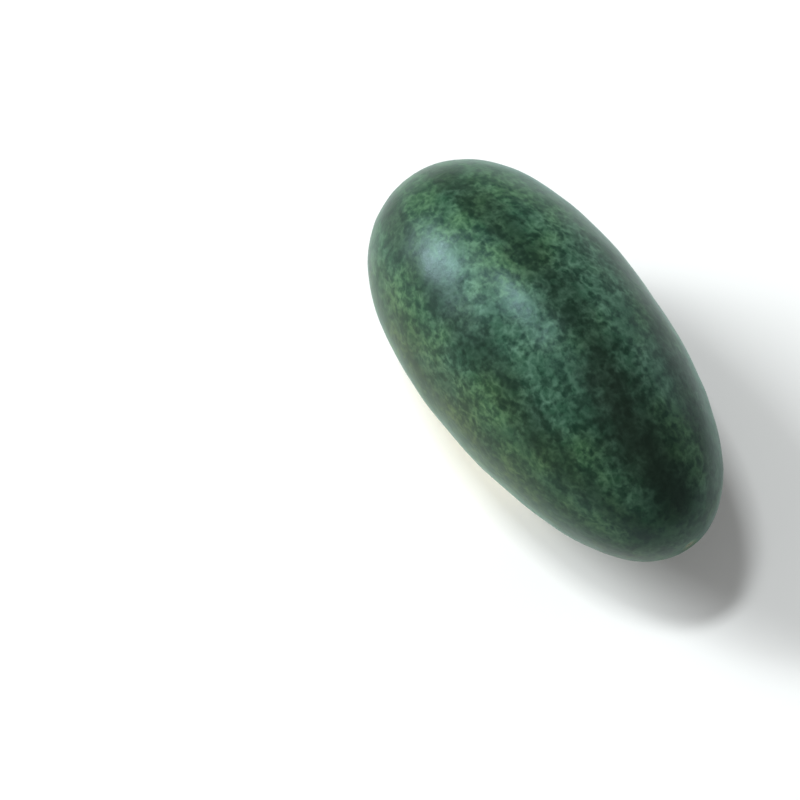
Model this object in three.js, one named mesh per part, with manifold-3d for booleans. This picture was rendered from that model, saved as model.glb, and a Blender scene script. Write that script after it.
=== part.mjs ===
// A whole oblong watermelon lying on its side, with the short dried stub of its stem.
//
// Millimetres, +Z up.  The fruit's long axis runs along X: the blunter stem end is at -X, the
// narrower blossom end at +X.  The origin is on the ground, under the middle of the whole part.
// The fruit grew as one body and is one solid; the stub of the stem is a second one.

import * as THREE from 'three';
import { mergeVertices } from 'three/addons/utils/BufferGeometryUtils.js';
import Module from 'manifold-3d';

// ---- driving dimensions --------------------------------------------------------------------

// The fruit, an egg shape turned about X before its ends and its underside are pressed in.
const fruitLength = 320;
const fruitDiameter = 164;
const endTaper = 0.1;        // share by which the stem end is wider and the blossom end narrower
const endFullness = 0.125;   // share by which both ends are fuller than an ellipsoid's

// The flat spot that the fruit's own weight presses on its underside.
const restingDepth = 2;

// The hollow round the stem, and the slight one at the blossom end.
const stemHollowRadius = 15;
const stemHollowDepth = 4;
const blossomHollowRadius = 9;
const blossomHollowDepth = 1.2;

// The stub of the stem, cut off short, dried and bent down.
const stemDiameter = 6;
const stemFootDiameter = 10;
const stemFootHeight = 3.5;
const stemLength = 16;       // along its middle line, from the bottom of the hollow to the cut
const stemBendDegrees = 80;
const stemClearance = 0.3;   // between the stem's foot and the rind

// Facets.
const fruitStations = 40;
const fruitSides = 64;
const stemStations = 12;
const stemSides = 20;

// ---- solids --------------------------------------------------------------------------------

const wasm = await Module();
wasm.setup();

// A closed geometry as a solid that can be joined and cut.
function toSolid(geometry) {
  const bare = geometry.index ? geometry.toNonIndexed() : geometry.clone();
  bare.deleteAttribute('normal');
  bare.deleteAttribute('uv');
  const merged = mergeVertices(bare, 1e-4);
  const corners = [];
  const index = merged.index.array;
  for (let i = 0; i < index.length; i += 3) {
    const [a, b, c] = [index[i], index[i + 1], index[i + 2]];
    if (a !== b && b !== c && c !== a) corners.push(a, b, c);
  }
  return new wasm.Manifold(new wasm.Mesh({
    numProp: 3,
    vertProperties: new Float32Array(merged.attributes.position.array),
    triVerts: new Uint32Array(corners),
  }));
}

function toGeometry(solid) {
  const mesh = solid.getMesh();
  const geometry = new THREE.BufferGeometry();
  geometry.setAttribute('position', new THREE.BufferAttribute(mesh.vertProperties, 3));
  geometry.setIndex(new THREE.BufferAttribute(mesh.triVerts, 1));
  geometry.computeVertexNormals();
  return geometry;
}

// ---- the fruit -----------------------------------------------------------------------------

// Radius of the egg shape at a share s of the half length, from -1 at the stem to 1.
function eggRadius(s) {
  return Math.sqrt(1 - s * s) * (1 - endTaper * s + endFullness * s * s);
}

function widestShare() {
  let widest = 0;
  for (let s = -1; s <= 1; s += 0.001) {
    if (eggRadius(s) > eggRadius(widest)) widest = s;
  }
  return widest;
}

// How far an end is pressed in at a distance r from the axis: a round hollow with a soft rim.
function hollow(r, radius, depth) {
  return r < radius ? (depth * (1 + Math.cos(Math.PI * r / radius))) / 2 : 0;
}

function fruitProfile() {
  const halfLength = fruitLength / 2;
  const radiusScale = fruitDiameter / 2 / eggRadius(widestShare());
  const points = [];
  for (let i = 0; i <= fruitStations; i++) {
    // Stations lie closest at the stem end, where the hollow is.
    const angle = Math.PI * Math.pow(i / fruitStations, 1.3);
    const s = -Math.cos(angle);
    const onAxis = i === 0 || i === fruitStations;
    const r = onAxis ? 0 : radiusScale * eggRadius(s);
    const pressed = s < 0
      ? hollow(r, stemHollowRadius, stemHollowDepth)
      : -hollow(r, blossomHollowRadius, blossomHollowDepth);
    points.push(new THREE.Vector2(r, halfLength * s + pressed));
  }
  return points;
}

// The turned egg shape, its axis laid along X at the height that leaves the flat spot at Z = 0.
function wholeFruit() {
  const turned = new THREE.LatheGeometry(fruitProfile(), fruitSides);
  turned.rotateZ(-Math.PI / 2);
  turned.translate(0, 0, fruitDiameter / 2 - restingDepth);
  return toSolid(turned);
}

function ground() {
  const size = 2 * (fruitLength + fruitDiameter);
  const block = new THREE.BoxGeometry(size, size, size);
  block.translate(0, 0, -size / 2);
  return toSolid(block);
}

// ---- the stub of the stem ------------------------------------------------------------------

// Half thickness at a height h above the bottom of the hollow: a foot that flares to the rind.
function stemRadius(h) {
  const flare = Math.max(0, 1 - h / stemFootHeight);
  return stemDiameter / 2 + ((stemFootDiameter - stemDiameter) / 2) * flare * flare;
}

function straightStem(rootDepth) {
  const profile = [new THREE.Vector2(0, -rootDepth)];
  for (let i = 0; i <= stemStations; i++) {
    const h = -rootDepth + ((stemLength + rootDepth) * i) / stemStations;
    profile.push(new THREE.Vector2(stemRadius(Math.max(0, h)), h));
  }
  profile.push(new THREE.Vector2(0, stemLength));
  return new THREE.LatheGeometry(profile, stemSides);
}

// The straight stem stands on +Y; this leads it out along -X and bends it down towards -Z.
function bendStem(geometry) {
  const bend = THREE.MathUtils.degToRad(stemBendDegrees);
  const bendRadius = stemLength / bend;
  const position = geometry.attributes.position;
  for (let i = 0; i < position.count; i++) {
    const [across, h, side] = [position.getX(i), position.getY(i), position.getZ(i)];
    const turn = Math.max(0, h) / bendRadius;
    const straight = Math.min(0, h);
    const out = straight + (bendRadius + across) * Math.sin(turn);
    const up = (bendRadius + across) * Math.cos(turn) - bendRadius;
    position.setXYZ(i, -out, -side, up);
  }
  return geometry;
}

function stem(fruit) {
  const rootDepth = stemHollowDepth;
  const bottomOfHollow = -fruitLength / 2 + stemHollowDepth;
  const bent = bendStem(straightStem(rootDepth));
  bent.translate(bottomOfHollow, 0, fruitDiameter / 2 - restingDepth);
  return toSolid(bent).subtract(fruit.translate([-stemClearance, 0, 0]));
}

// ---- assembly ------------------------------------------------------------------------------

const fruit = wholeFruit().subtract(ground());

const rind = new THREE.MeshStandardMaterial({ color: 0x2f4a35, roughness: 0.45, metalness: 0 });
const driedStem = new THREE.MeshStandardMaterial({ color: 0x8a7550, roughness: 0.85, metalness: 0 });

function named(name, solid, material) {
  const mesh = new THREE.Mesh(toGeometry(solid), material);
  mesh.name = name;
  return mesh;
}

const watermelon = new THREE.Group();
watermelon.add(named('fruit', fruit, rind));
watermelon.add(named('stem_stub', stem(fruit), driedStem));

// The origin is under the middle of the whole part, stem included.
const extent = new THREE.Box3().setFromObject(watermelon);
watermelon.position.x = -(extent.min.x + extent.max.x) / 2;

export default watermelon;
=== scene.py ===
import math

import bmesh
import bpy
from mathutils import Matrix, Vector


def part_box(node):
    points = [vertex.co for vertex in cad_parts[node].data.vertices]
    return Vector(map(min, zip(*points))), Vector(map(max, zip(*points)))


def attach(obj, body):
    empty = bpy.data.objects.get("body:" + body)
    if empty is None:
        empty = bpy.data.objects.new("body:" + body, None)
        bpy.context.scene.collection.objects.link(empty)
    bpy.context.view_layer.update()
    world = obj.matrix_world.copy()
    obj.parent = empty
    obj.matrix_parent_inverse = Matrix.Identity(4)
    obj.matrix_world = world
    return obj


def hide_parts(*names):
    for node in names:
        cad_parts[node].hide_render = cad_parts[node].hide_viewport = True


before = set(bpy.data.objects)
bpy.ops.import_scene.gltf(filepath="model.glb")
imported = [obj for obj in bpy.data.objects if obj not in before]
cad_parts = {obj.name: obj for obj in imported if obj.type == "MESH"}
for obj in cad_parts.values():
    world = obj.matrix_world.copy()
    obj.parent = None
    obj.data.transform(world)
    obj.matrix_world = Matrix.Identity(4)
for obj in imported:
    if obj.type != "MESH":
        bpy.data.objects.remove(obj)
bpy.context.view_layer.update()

# ---- The fruit ---------------------------------------------------------------------------------
# A whole oblong watermelon, grown in one piece: an egg shape whose blunt end carries the stem in a
# round hollow, and whose narrow end has the small corky scar that the flower left.  It is turned
# about its long axis, swollen a little unevenly, and pressed flat where it lies on the ground.

fruit_low, fruit_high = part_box("fruit")
half_length = 0.160
half_width = 0.082
end_taper = 0.1
end_fullness = 0.125
end_crowding = 0.65
stem_hollow_radius = 0.015
stem_hollow_depth = 0.004
blossom_hollow_radius = 0.009
blossom_hollow_depth = 0.0012
scar_radius = 0.003
scar_height = 0.0005
stations = 240
sides = 240
same_point = 1e-6


def egg_radius(s):
    """Radius at a share s of the half length, before it is scaled to the fruit's width."""
    return math.sqrt(max(0.0, 1 - s * s)) * (1 - end_taper * s + end_fullness * s * s)


def soft_hollow(r, radius, depth):
    return depth * (1 + math.cos(math.pi * r / radius)) / 2 if r < radius else 0.0


def fruit_outline():
    """Points (x, radius) from the stem's pole to the blossom's, closest together at the ends."""
    width_scale = half_width / max(egg_radius(-1 + i / 1000) for i in range(2001))
    points = []
    for i in range(stations + 1):
        share = i / stations
        crowded = end_crowding * math.sin(2 * math.pi * share) / (2 * math.pi)
        angle = math.pi * (share - crowded)
        s = -math.cos(angle)
        r = width_scale * egg_radius(s)
        if s < 0:
            pressed = soft_hollow(r, stem_hollow_radius, stem_hollow_depth)
        else:
            pressed = -soft_hollow(r, blossom_hollow_radius, blossom_hollow_depth)
            pressed += soft_hollow(r, scar_radius, scar_height)
        points.append((half_length * s + pressed, r if 0 < i < stations else 0.0))
    return points


def select_all(choice):
    bpy.ops.mesh.select_all(action=choice)


def select_points(piece, wanted):
    """In edit mode, selects only the points whose place passes the test."""
    select_all("DESELECT")
    shape = bmesh.from_edit_mesh(piece.data)
    for point in shape.verts:
        point.select = wanted(point.co)
    shape.select_flush(True)
    bmesh.update_edit_mesh(piece.data)


def apply_modifier(piece, kind, **settings):
    """Adds a modifier with its settings and applies it at once."""
    modifier = piece.modifiers.new(kind.title(), kind)
    for name, value in settings.items():
        setattr(modifier, name, value)
    bpy.ops.object.modifier_apply(modifier=modifier.name)


def clouds(name, grain, depth=2):
    """A soft procedural noise whose swellings are about as wide as the grain, in metres."""
    noise = bpy.data.textures.new(name, "CLOUDS")
    noise.noise_scale = grain
    noise.noise_depth = depth
    return noise


# The outline, from one pole to the other, is drawn out of a single point and turned about the axis.
outline = fruit_outline()
stem_pole, blossom_pole = outline[0][0], outline[-1][0]
middle = Vector((fruit_low.x - min(x for x, _ in outline), 0.0, fruit_high.z - half_width))

bpy.ops.object.select_all(action="DESELECT")
bpy.ops.mesh.primitive_plane_add(size=0.001, location=(0, 0, 0))
fruit = bpy.context.object
fruit.name = fruit.data.name = "melon_rind"
bpy.ops.object.mode_set(mode="EDIT")
select_all("SELECT")
bpy.ops.mesh.merge(type="CENTER")
bpy.ops.transform.translate(value=middle + Vector((stem_pole, 0, 0)))
for (x0, r0), (x1, r1) in zip(outline, outline[1:]):
    bpy.ops.mesh.extrude_region_move(TRANSFORM_OT_translate={"value": (x1 - x0, 0, r1 - r0)})
select_all("SELECT")
bpy.ops.mesh.spin(steps=sides, angle=2 * math.pi, center=middle, axis=(1, 0, 0))
select_all("SELECT")
bpy.ops.mesh.remove_doubles(threshold=same_point)
bpy.ops.mesh.normals_make_consistent(inside=False)
bpy.ops.mesh.faces_shade_smooth()
bpy.ops.object.mode_set(mode="OBJECT")

# Uneven growth: broad swellings, smaller ones on them, and a slight bow of the whole fruit.
bow_angle = math.radians(3.5)
bow_height = 2 * half_length * bow_angle / 8
apply_modifier(fruit, "DISPLACE", texture=clouds("swellings", 0.07), strength=0.0025,
               mid_level=0.5)
apply_modifier(fruit, "DISPLACE", texture=clouds("dimples", 0.02), strength=0.0004, mid_level=0.5)
apply_modifier(fruit, "SIMPLE_DEFORM", deform_method="BEND", deform_axis="Z", angle=-bow_angle)

# Where it lies the rind is pressed flat on the ground.
bpy.ops.object.mode_set(mode="EDIT")
select_all("SELECT")
bpy.ops.transform.translate(value=(0, bow_height, 0))
select_points(fruit, lambda place: place.z < 0)
bpy.ops.transform.resize(value=(1, 1, 0), center_override=(0, 0, 0))
bpy.ops.object.mode_set(mode="OBJECT")


def srgb(hex_code):
    """An sRGB hex colour as linear red, green, blue and alpha."""
    channels = [int(hex_code[i:i + 2], 16) / 255 for i in (1, 3, 5)]
    linear = [c / 12.92 if c <= 0.04045 else ((c + 0.055) / 1.055) ** 2.4 for c in channels]
    return (*linear, 1.0)


def add_node(tree, kind, inputs=None, output=0, stops=None, **settings):
    """Adds one node, with its settings, ramp stops and inputs; gives back one of its outputs."""
    made = tree.nodes.new(kind)
    for name, value in settings.items():
        setattr(made, name, value)
    if stops:
        ramp = made.color_ramp.elements
        ramp[0].position, ramp[0].color = stops[0]
        ramp[1].position, ramp[1].color = stops[-1]
        for position, colour in stops[1:-1]:
            ramp.new(position).color = colour
    for name, value in (inputs or {}).items():
        if isinstance(value, bpy.types.NodeSocket):
            tree.links.new(value, made.inputs[name])
        else:
            made.inputs[name].default_value = value
    return made.outputs[output] if made.outputs else made


def new_material(name):
    material = bpy.data.materials.new(name)
    material.use_nodes = True
    material.node_tree.nodes.clear()
    return material, material.node_tree


# The rind is living skin under a thin natural wax: nearly black green cells in a net of paler
# veins, gathered into wandering stripes from end to end.  The wax gives it a satin gloss of a
# bluish tint, and a faint blue-green bloom where it is seen edge on.
rind, tree = new_material("waxy_watermelon_rind")
place = add_node(tree, "ShaderNodeTexCoord", output="Object")
centred = add_node(tree, "ShaderNodeMapping", {"Vector": place, "Location": -middle})
x, y, z = (add_node(tree, "ShaderNodeSeparateXYZ", {"Vector": centred}, output=axis)
           for axis in "XYZ")
x_squared = add_node(tree, "ShaderNodeMath", {0: x, 1: x}, operation="MULTIPLY")

# Uneven growth, each noise by the width of its patches in metres, its detail and its roughness.
noise = {}
for name, (width, detail, roughness) in {
        "wander": (0.075, 1.0, 0.5), "ragged": (0.011, 3.0, 0.65), "growth": (0.050, 2.0, 0.5),
        "patches": (0.026, 3.0, 0.65), "mottle": (0.0085, 3.0, 0.6), "broken": (0.0042, 2.0, 0.6),
        "pale_edge": (0.022, 3.0, 0.6), "pores": (0.0038, 1.0, 0.5), "wear": (0.002, 2.0, 0.6),
        "cork": (0.0011, 2.0, 0.6)}.items():
    noise[name] = add_node(tree, "ShaderNodeTexNoise", {
        "Vector": centred, "Scale": 1 / width, "Detail": detail, "Roughness": roughness})

# Stripes run from pole to pole with torn edges.  The one on top is the darkest, a real stripe
# with painted shade over it, and grows broad and nearly black towards the narrow end.
stripe_pairs = 8
tear = 2.6
tear_middle = -1.8
top_edge_tear = 0.16
angle = add_node(tree, "ShaderNodeMath", {0: z, 1: y}, operation="ARCTAN2")
top_stripe = add_node(tree, "ShaderNodeMapRange", {
    "Value": x, "From Min": 0.0, "From Max": 0.1, "To Min": math.radians(84),
    "To Max": math.radians(94)}, interpolation_type="SMOOTHSTEP")
off_top = add_node(tree, "ShaderNodeMath", {0: angle, 1: top_stripe}, operation="SUBTRACT")
torn = add_node(tree, "ShaderNodeMath", {0: noise["ragged"], 1: tear, 2: noise["wander"]},
                operation="MULTIPLY_ADD")
torn = add_node(tree, "ShaderNodeMath", {0: torn, 1: tear_middle}, operation="ADD")
phase = add_node(tree, "ShaderNodeMath", {0: off_top, 1: stripe_pairs, 2: torn},
                 operation="MULTIPLY_ADD")
stripe = add_node(tree, "ShaderNodeMath", {0: phase}, operation="COSINE")
stripe = add_node(tree, "ShaderNodeMapRange", {
    "Value": stripe, "From Min": -0.3, "From Max": 0.9, "To Max": 0.5},
    interpolation_type="SMOOTHSTEP")
from_top = add_node(tree, "ShaderNodeMath", {0: torn, 1: top_edge_tear, 2: off_top},
                    operation="MULTIPLY_ADD")
from_top = add_node(tree, "ShaderNodeMath", {0: from_top}, operation="ABSOLUTE")
reach, depth = (
    add_node(tree, "ShaderNodeMapRange", {
        "Value": x, "From Min": low, "From Max": high, "To Min": least, "To Max": most},
        interpolation_type="SMOOTHSTEP")
    for low, high, least, most in ((0.0, 0.1, 0.2, 0.58), (-0.06, 0.09, 0.18, 0.88)))
# Painted shade: a dark band along the top of the fruit, broadest and deepest at the narrow end.
top_band_painted_shade = add_node(tree, "ShaderNodeMapRange", {
    "Value": from_top, "From Max": reach, "To Min": depth, "To Max": 0.0},
    interpolation_type="SMOOTHSTEP")
# From here the stripes also carry the painted shade of the top band.
stripe = add_node(tree, "ShaderNodeMath", {0: stripe, 1: top_band_painted_shade}, operation="MAXIMUM")
near_pole = add_node(tree, "ShaderNodeMapRange", {
    "Value": x_squared, "From Min": 0.0205, "From Max": 0.0245, "To Min": 1.0, "To Max": 0.0},
    interpolation_type="SMOOTHSTEP")
stripe = add_node(tree, "ShaderNodeMath", {0: stripe, 1: near_pole}, operation="MULTIPLY")

# The net of veins follows cells of two sizes, pushed out of shape and drawn out lengthwise.
cell_width = 0.0058
small_cell_width = 0.00261
small_cell_strength = 0.4
lengthwise_draw = 0.75
push_width = 0.01
push = 0.011
shoved = add_node(tree, "ShaderNodeTexNoise", {"Vector": centred, "Scale": 1 / push_width,
                  "Detail": 2.0}, output="Color")
shoved = add_node(tree, "ShaderNodeVectorMath", {0: shoved, 1: (push,) * 3, 2: centred},
                  operation="MULTIPLY_ADD")
drawn_out = add_node(tree, "ShaderNodeMapping", {
    "Vector": shoved, "Scale": (lengthwise_draw, 1.0, 1.0)})
net = 0.0
for width, strength in ((cell_width, 1.0), (small_cell_width, small_cell_strength)):
    edge = add_node(tree, "ShaderNodeTexVoronoi", {"Vector": drawn_out, "Scale": 1 / width},
                    output="Distance", feature="DISTANCE_TO_EDGE")
    vein = add_node(tree, "ShaderNodeMapRange", {
        "Value": edge, "From Max": 0.42, "To Min": strength, "To Max": 0.0},
        interpolation_type="SMOOTHSTEP")
    net = add_node(tree, "ShaderNodeMath", {0: vein, 1: net}, operation="MAXIMUM")
for name, faintest in (("broken", 0.45), ("mottle", 0.4), ("patches", 0.3)):
    shown = add_node(tree, "ShaderNodeMapRange", {
        "Value": noise[name], "From Min": 0.34, "From Max": 0.64, "To Min": faintest},
        interpolation_type="SMOOTHSTEP")
    net = add_node(tree, "ShaderNodeMath", {0: net, 1: shown}, operation="MULTIPLY")

# Low on its sides the rind pales from olive to the cream of the spot that lay on the ground.  The
# olive is its own tint, darkened with painted shade on the low flank.
spot_angle = math.radians(-105)
spot_end_fade = -18.0
spot_edge_tear = 0.36
spot_side = Vector((0, math.cos(spot_angle), math.sin(spot_angle))) / half_width
downward = add_node(tree, "ShaderNodeVectorMath", {0: centred, 1: spot_side}, output="Value",
                    operation="DOT_PRODUCT")
paleness = add_node(tree, "ShaderNodeMath", {0: x_squared, 1: spot_end_fade, 2: downward},
                    operation="MULTIPLY_ADD")
paleness = add_node(tree, "ShaderNodeMath", {
    0: noise["pale_edge"], 1: spot_edge_tear, 2: paleness}, operation="MULTIPLY_ADD")
olive_and_painted_shade = add_node(tree, "ShaderNodeMapRange", {
    "Value": paleness, "From Min": -0.45, "From Max": 0.45, "To Max": 0.85},
    interpolation_type="SMOOTHSTEP")
spot = add_node(tree, "ShaderNodeMapRange", {
    "Value": paleness, "From Min": 0.74, "From Max": 1.04}, interpolation_type="SMOOTHSTEP")
spot_colour = add_node(tree, "ShaderNodeValToRGB", {"Fac": paleness}, stops=[
    (0.85, srgb("#a3a15e")), (1.0, srgb("#d9cc96"))])

# Cork: a cracked ring where the stem grows out, and the small scar that the flower left.
cork = add_node(tree, "ShaderNodeMix", {0: noise["cork"], 6: srgb("#4b3f2b"), 7: srgb("#93815c")},
                output=2, data_type="RGBA")
worn = {}
for pole, wear in ((stem_pole, 0.005), (blossom_pole, 0.002)):
    away = add_node(tree, "ShaderNodeVectorMath", {0: centred, 1: (pole, 0, 0)}, output="Value",
                    operation="DISTANCE")
    worn[pole] = add_node(tree, "ShaderNodeMath", {0: noise["wear"], 1: wear, 2: away},
                          operation="MULTIPLY_ADD")
collar, halo, scar, style = (
    add_node(tree, "ShaderNodeMapRange", {
        "Value": worn[pole], "From Min": low, "From Max": high, "To Min": most, "To Max": 0.0},
        interpolation_type="SMOOTHSTEP")
    for pole, low, high, most in (
        (stem_pole, 0.0073, 0.0093, 0.9), (blossom_pole, 0.005, 0.0085, 0.35),
        (blossom_pole, 0.0036, 0.0044, 0.9), (blossom_pole, 0.0016, 0.0022, 0.8)))

# The colours, laid over each other from the cells up; the skin is greener towards the stem.
greener = add_node(tree, "ShaderNodeMapRange", {
    "Value": x, "From Min": -0.14, "From Max": -0.02, "To Min": 0.12, "To Max": 0.0})
greener = add_node(tree, "ShaderNodeMath", {0: noise["growth"], 1: greener}, operation="ADD")
greener = add_node(tree, "ShaderNodeMapRange", {
    "Value": greener, "From Min": 0.38, "From Max": 0.68}, interpolation_type="SMOOTHSTEP")
# The olive pair is darkened with painted shade for the low flank.
cell_green, vein_green, olive_and_painted_shade_colour = (
    add_node(tree, "ShaderNodeMix", {0: share, 6: srgb(first), 7: srgb(second)}, output=2,
             data_type="RGBA")
    for share, first, second in (
        (greener, "#234431", "#244529"), (greener, "#567864", "#527553"),
        (net, "#272d11", "#4f5826")))
dark_cells = add_node(tree, "ShaderNodeMapRange", {
    "Value": noise["mottle"], "From Min": 0.4, "From Max": 0.57, "To Min": 1.0, "To Max": 0.0},
    interpolation_type="SMOOTHSTEP")
stem_end = add_node(tree, "ShaderNodeMapRange", {
    "Value": x, "From Min": -0.14, "From Max": -0.06, "To Min": 0.45, "To Max": 0.0},
    interpolation_type="SMOOTHSTEP")
# Painted shade: the narrow end darkens towards a near black green.
narrow_end_painted_shade = add_node(tree, "ShaderNodeMapRange", {
    "Value": x, "From Min": 0.01, "From Max": 0.13, "To Max": 0.38}, interpolation_type="SMOOTHSTEP")
# Painted shade goes in among these colours: the top band, the narrow end and the dark olive low
# flank.
skin = cell_green
for share, colour in (
        (dark_cells, srgb("#0b2919")), (net, vein_green), (stem_end, srgb("#12301b")),
        (stripe, srgb("#10170b")), (narrow_end_painted_shade, srgb("#121b12")), (olive_and_painted_shade, olive_and_painted_shade_colour),
        (spot, spot_colour), (collar, cork), (halo, srgb("#6d7a48")), (scar, cork),
        (style, srgb("#241c12"))):
    skin = add_node(tree, "ShaderNodeMix", {0: share, 6: skin, 7: colour}, output=2,
                    data_type="RGBA")

wax = add_node(tree, "ShaderNodeMapRange", {
    "Value": noise["broken"], "From Min": 0.3, "From Max": 0.7, "To Min": 0.3, "To Max": 0.37})
bump = add_node(tree, "ShaderNodeBump", {"Height": noise["pores"], "Strength": 0.3,
                "Distance": 0.0003}, output="Normal")
shader = add_node(tree, "ShaderNodeBsdfPrincipled", {
    "Base Color": skin, "Roughness": wax, "IOR": 1.45, "Specular IOR Level": 0.34,
    "Specular Tint": (0.6, 0.9, 0.95, 1.0), "Normal": bump, "Sheen Weight": 0.18,
    "Sheen Roughness": 0.4, "Sheen Tint": (0.1, 0.68, 0.5, 1.0)})
add_node(tree, "ShaderNodeOutputMaterial", {"Surface": shader})
fruit.data.materials.append(rind)

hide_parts("fruit")
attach(fruit, "root")

# ---- The stub of the stem ----------------------------------------------------------------------
# What the knife left of the stem: a short ribbed stalk, dried hard and brown, that grows out of the
# hollow with a flared foot and bends down.  It is woody, with a paler cut end round a dark pith.

stem_radius = 0.003
stem_length = 0.0155
stem_bend = math.radians(82)
stem_ribs = 5
rib_points = 6
rib_crest = 0.3
rib_swell = 1.14
foot_flare = 0.62
waist = 0.08
cut_swell = 0.1
bark_rim = 0.0005
pith_sink = 0.0003
root_length = 0.002
root_sink = 0.0005
rings = 16
root = middle + Vector((stem_pole + root_sink, 0.0, -root_sink))
bend_radius = stem_length / stem_bend
bend_centre = root - Vector((0, 0, bend_radius))


def stem_thickness(share):
    """Share of the stem's radius at a share of its length: flared foot, waist, swollen cut."""
    foot = max(0.0, 1 - share / 0.3)
    cut = max(0.0, (share - 0.7) / 0.3)
    narrowed = 0.96 - waist * math.sin(math.pi * share)
    return narrowed + foot_flare * foot * foot + cut_swell * cut * cut


def turned_by(place):
    return math.atan2(bend_centre.x - place.x, place.z - bend_centre.z)


bpy.ops.object.select_all(action="DESELECT")
bpy.ops.mesh.primitive_circle_add(vertices=stem_ribs * rib_points, radius=stem_radius,
                                  location=root, rotation=(0, math.radians(90), 0))
stem = bpy.context.object
stem.name = stem.data.name = "dried_stem"
bpy.ops.object.transform_apply()
bpy.ops.object.mode_set(mode="EDIT")
select_points(stem, lambda place:
              math.cos(stem_ribs * math.atan2(place.y, place.z - root.z)) > rib_crest)
bpy.ops.transform.resize(value=(rib_swell,) * 3, center_override=root)
select_all("SELECT")
bpy.ops.mesh.spin(steps=rings, angle=stem_bend, center=bend_centre, axis=(0, 1, 0))
for k in range(rings + 1):
    turn = stem_bend * k / rings
    centre = bend_centre + bend_radius * Vector((-math.sin(turn), 0, math.cos(turn)))
    thickness = stem_thickness(k / rings)
    select_points(stem, lambda place: abs(turned_by(place) - turn) < 0.3 * stem_bend / rings)
    bpy.ops.transform.resize(value=(thickness,) * 3, center_override=centre)

# The cut end is closed, with a rim of bark round sunken pith; the root end goes into the rind.
select_points(stem, lambda place: abs(turned_by(place) - stem_bend) < 1e-3)
bpy.ops.mesh.edge_face_add()
bpy.ops.mesh.inset(thickness=bark_rim, depth=0.0)
bpy.ops.mesh.inset(thickness=pith_sink, depth=-pith_sink)
select_points(stem, lambda place: abs(turned_by(place)) < 1e-3)
bpy.ops.mesh.extrude_region_move(TRANSFORM_OT_translate={"value": (root_length, 0, 0)})
bpy.ops.mesh.edge_face_add()
select_all("SELECT")
bpy.ops.mesh.normals_make_consistent(inside=False)
bpy.ops.mesh.faces_shade_smooth()
bpy.ops.object.mode_set(mode="OBJECT")
apply_modifier(stem, "SUBSURF", levels=2, render_levels=2)
apply_modifier(stem, "DISPLACE", texture=clouds("shrivelling", 0.0025), strength=0.0007,
               mid_level=0.5)

# Dried woody stalk: matt grey-brown bark with fibres that follow the bend, green left in patches.
fibre_width = 0.0006
fibre_draw = 0.15
blotches_per_metre = 260.0
bark, tree = new_material("dried_melon_stalk")
place = add_node(tree, "ShaderNodeTexCoord", output="Object")
from_bend = add_node(tree, "ShaderNodeMapping", {"Vector": place, "Location": -bend_centre})
x, y, z = (add_node(tree, "ShaderNodeSeparateXYZ", {"Vector": from_bend}, output=axis)
           for axis in "XYZ")
outward = add_node(tree, "ShaderNodeMath", {0: x, 1: -1.0}, operation="MULTIPLY")
turn = add_node(tree, "ShaderNodeMath", {0: outward, 1: z}, operation="ARCTAN2")
in_plane = add_node(tree, "ShaderNodeCombineXYZ", {"X": x, "Z": z})
distance = add_node(tree, "ShaderNodeVectorMath", {0: in_plane}, output="Value",
                    operation="LENGTH")
drawn_turn = add_node(tree, "ShaderNodeMath", {0: turn, 1: bend_radius * fibre_draw},
                      operation="MULTIPLY")
fibre_place = add_node(tree, "ShaderNodeCombineXYZ", {"X": drawn_turn, "Y": y, "Z": distance})
fibres = add_node(tree, "ShaderNodeTexNoise", {"Vector": fibre_place, "Scale": 1 / fibre_width,
                  "Detail": 3.0, "Roughness": 0.6})
blotches = add_node(tree, "ShaderNodeTexNoise", {
    "Vector": place, "Scale": blotches_per_metre, "Detail": 2.0})
light_fibres, green_left, pith = (
    add_node(tree, "ShaderNodeMapRange", {
        "Value": value, "From Min": low, "From Max": high, "To Max": most},
        interpolation_type="SMOOTHSTEP")
    for value, low, high, most in (
        (fibres, 0.35, 0.65, 1.0), (blotches, 0.45, 0.7, 0.5), (blotches, 0.4, 0.6, 1.0)))
cut_face = add_node(tree, "ShaderNodeMapRange", {
    "Value": turn, "From Min": stem_bend * 0.975, "From Max": stem_bend * 0.995, "To Max": 0.8},
    interpolation_type="SMOOTHSTEP")
pith_brown = add_node(tree, "ShaderNodeMix", {0: pith, 6: srgb("#b9a67b"), 7: srgb("#7d6a48")},
                      output=2, data_type="RGBA")
brown = srgb("#4a3b25")
for share, colour in (
        (light_fibres, srgb("#9a8659")), (green_left, srgb("#6c7048")), (cut_face, pith_brown)):
    brown = add_node(tree, "ShaderNodeMix", {0: share, 6: brown, 7: colour}, output=2,
                     data_type="RGBA")
bump = add_node(tree, "ShaderNodeBump", {"Height": fibres, "Strength": 0.7, "Distance": 0.0004},
                output="Normal")
shader = add_node(tree, "ShaderNodeBsdfPrincipled", {
    "Base Color": brown, "Roughness": 0.82, "IOR": 1.45, "Normal": bump})
add_node(tree, "ShaderNodeOutputMaterial", {"Surface": shader})
stem.data.materials.append(bark)

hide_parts("stem_stub")
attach(stem, "root")

# ---- The floor ---------------------------------------------------------------------------------
# A plain pale studio floor, painted matt and a hair's breadth below the fruit, so that the two
# surfaces never share one height.

floor_drop = 0.0003
floor_radius = 7.0
bpy.ops.object.select_all(action="DESELECT")
bpy.ops.mesh.primitive_circle_add(vertices=96, radius=floor_radius, fill_type="NGON",
                                  location=(0, 0, -floor_drop))
floor = bpy.context.object
floor.name = "floor"
paint, tree = new_material("matt_floor_paint")
shader = add_node(tree, "ShaderNodeBsdfPrincipled", {
    "Base Color": srgb("#eeeeed"), "Roughness": 0.9})
add_node(tree, "ShaderNodeOutputMaterial", {"Surface": shader})
floor.data.materials.append(paint)

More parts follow.
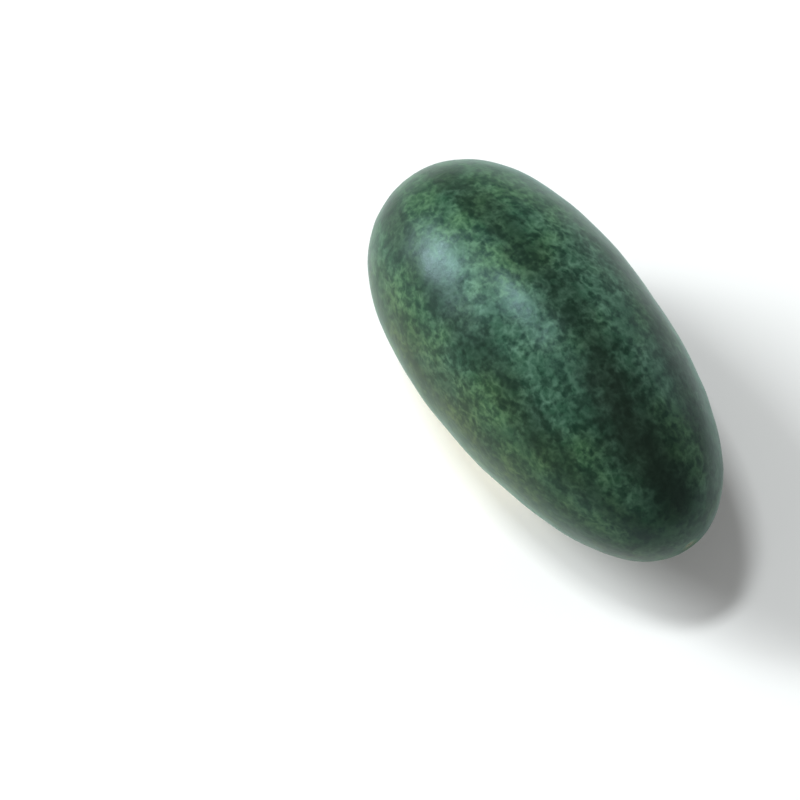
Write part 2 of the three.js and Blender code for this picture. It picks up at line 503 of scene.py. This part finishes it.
# ---- Light and camera --------------------------------------------------------------------------
# Two soft boxes high on the stem end's side, a broad weak fill from the far side, and a studio
# that is bright round the horizon and darker overhead.  The camera looks down on the fruit.

light_distance = 6.0
daylight = (0.95, 0.99, 1.0)
haze_side = (-0.66, -0.61, 0.44)


def soft_box(name, toward, length, width, power, colour=(1, 1, 1)):
    """A strip light seen from the fruit in a given direction, its length across the fruit."""
    data = bpy.data.lights.new(name, "AREA")
    data.shape = "RECTANGLE"
    data.size = length
    data.size_y = width
    data.energy = power
    data.color = colour
    lamp = bpy.data.objects.new(name, data)
    back = Vector(toward).normalized()
    across = Vector((1, 0, 0)).cross(back).normalized()
    lamp.matrix_world = Matrix((across, back.cross(across), back)).transposed().to_4x4()
    lamp.location = middle + back * light_distance
    bpy.context.collection.objects.link(lamp)


soft_box("key_box", (-0.70, -0.49, 0.52), 2.88, 1.20, 395, daylight)
soft_box("top_box", (-0.35, -0.14, 0.93), 1.25, 0.60, 155, daylight)
soft_box("far_fill", (0.077, 0.937, 0.341), 3.84, 3.84, 38)

world = bpy.data.worlds.new("studio")
world.use_nodes = True
tree = world.node_tree
tree.nodes.clear()
direction = add_node(tree, "ShaderNodeTexCoord", output="Generated")
height = add_node(tree, "ShaderNodeSeparateXYZ", {"Vector": direction}, output="Z")
facing = add_node(tree, "ShaderNodeVectorMath", {0: direction, 1: haze_side},
                  output="Value", operation="DOT_PRODUCT")
haze = add_node(tree, "ShaderNodeMapRange", {
    "Value": facing, "From Min": 0.7, "From Max": 1.0, "To Min": 0.88, "To Max": 2.0},
    interpolation_type="SMOOTHSTEP")
glow = add_node(tree, "ShaderNodeValToRGB", {"Fac": height}, stops=[
    (0.0, (0.46, 0.47, 0.47, 1)), (0.25, (0.4, 0.41, 0.41, 1)), (0.6, (0.29, 0.29, 0.29, 1))])
backdrop = add_node(tree, "ShaderNodeBackground", {"Color": glow, "Strength": haze})
add_node(tree, "ShaderNodeOutputWorld", {"Surface": backdrop})
bpy.context.scene.world = world
bpy.context.scene.view_settings.view_transform = "Standard"

azimuth = math.radians(55.79)
elevation = math.radians(65)
lens_length = 85
camera_distance = 1.259
aim_right = -0.0953
aim_up = -0.0270
right = Vector((math.cos(azimuth), math.sin(azimuth), 0))
up = Vector((-math.sin(azimuth) * math.sin(elevation), math.cos(azimuth) * math.sin(elevation),
             math.cos(elevation)))
back = right.cross(up)
camera_data = bpy.data.cameras.new("camera")
camera_data.lens = lens_length
camera = bpy.data.objects.new("camera", camera_data)
camera.location = middle + right * aim_right + up * aim_up + back * camera_distance
camera.rotation_mode = "QUATERNION"
camera.rotation_quaternion = back.to_track_quat("Z", "Y")
bpy.context.collection.objects.link(camera)
bpy.context.scene.camera = camera
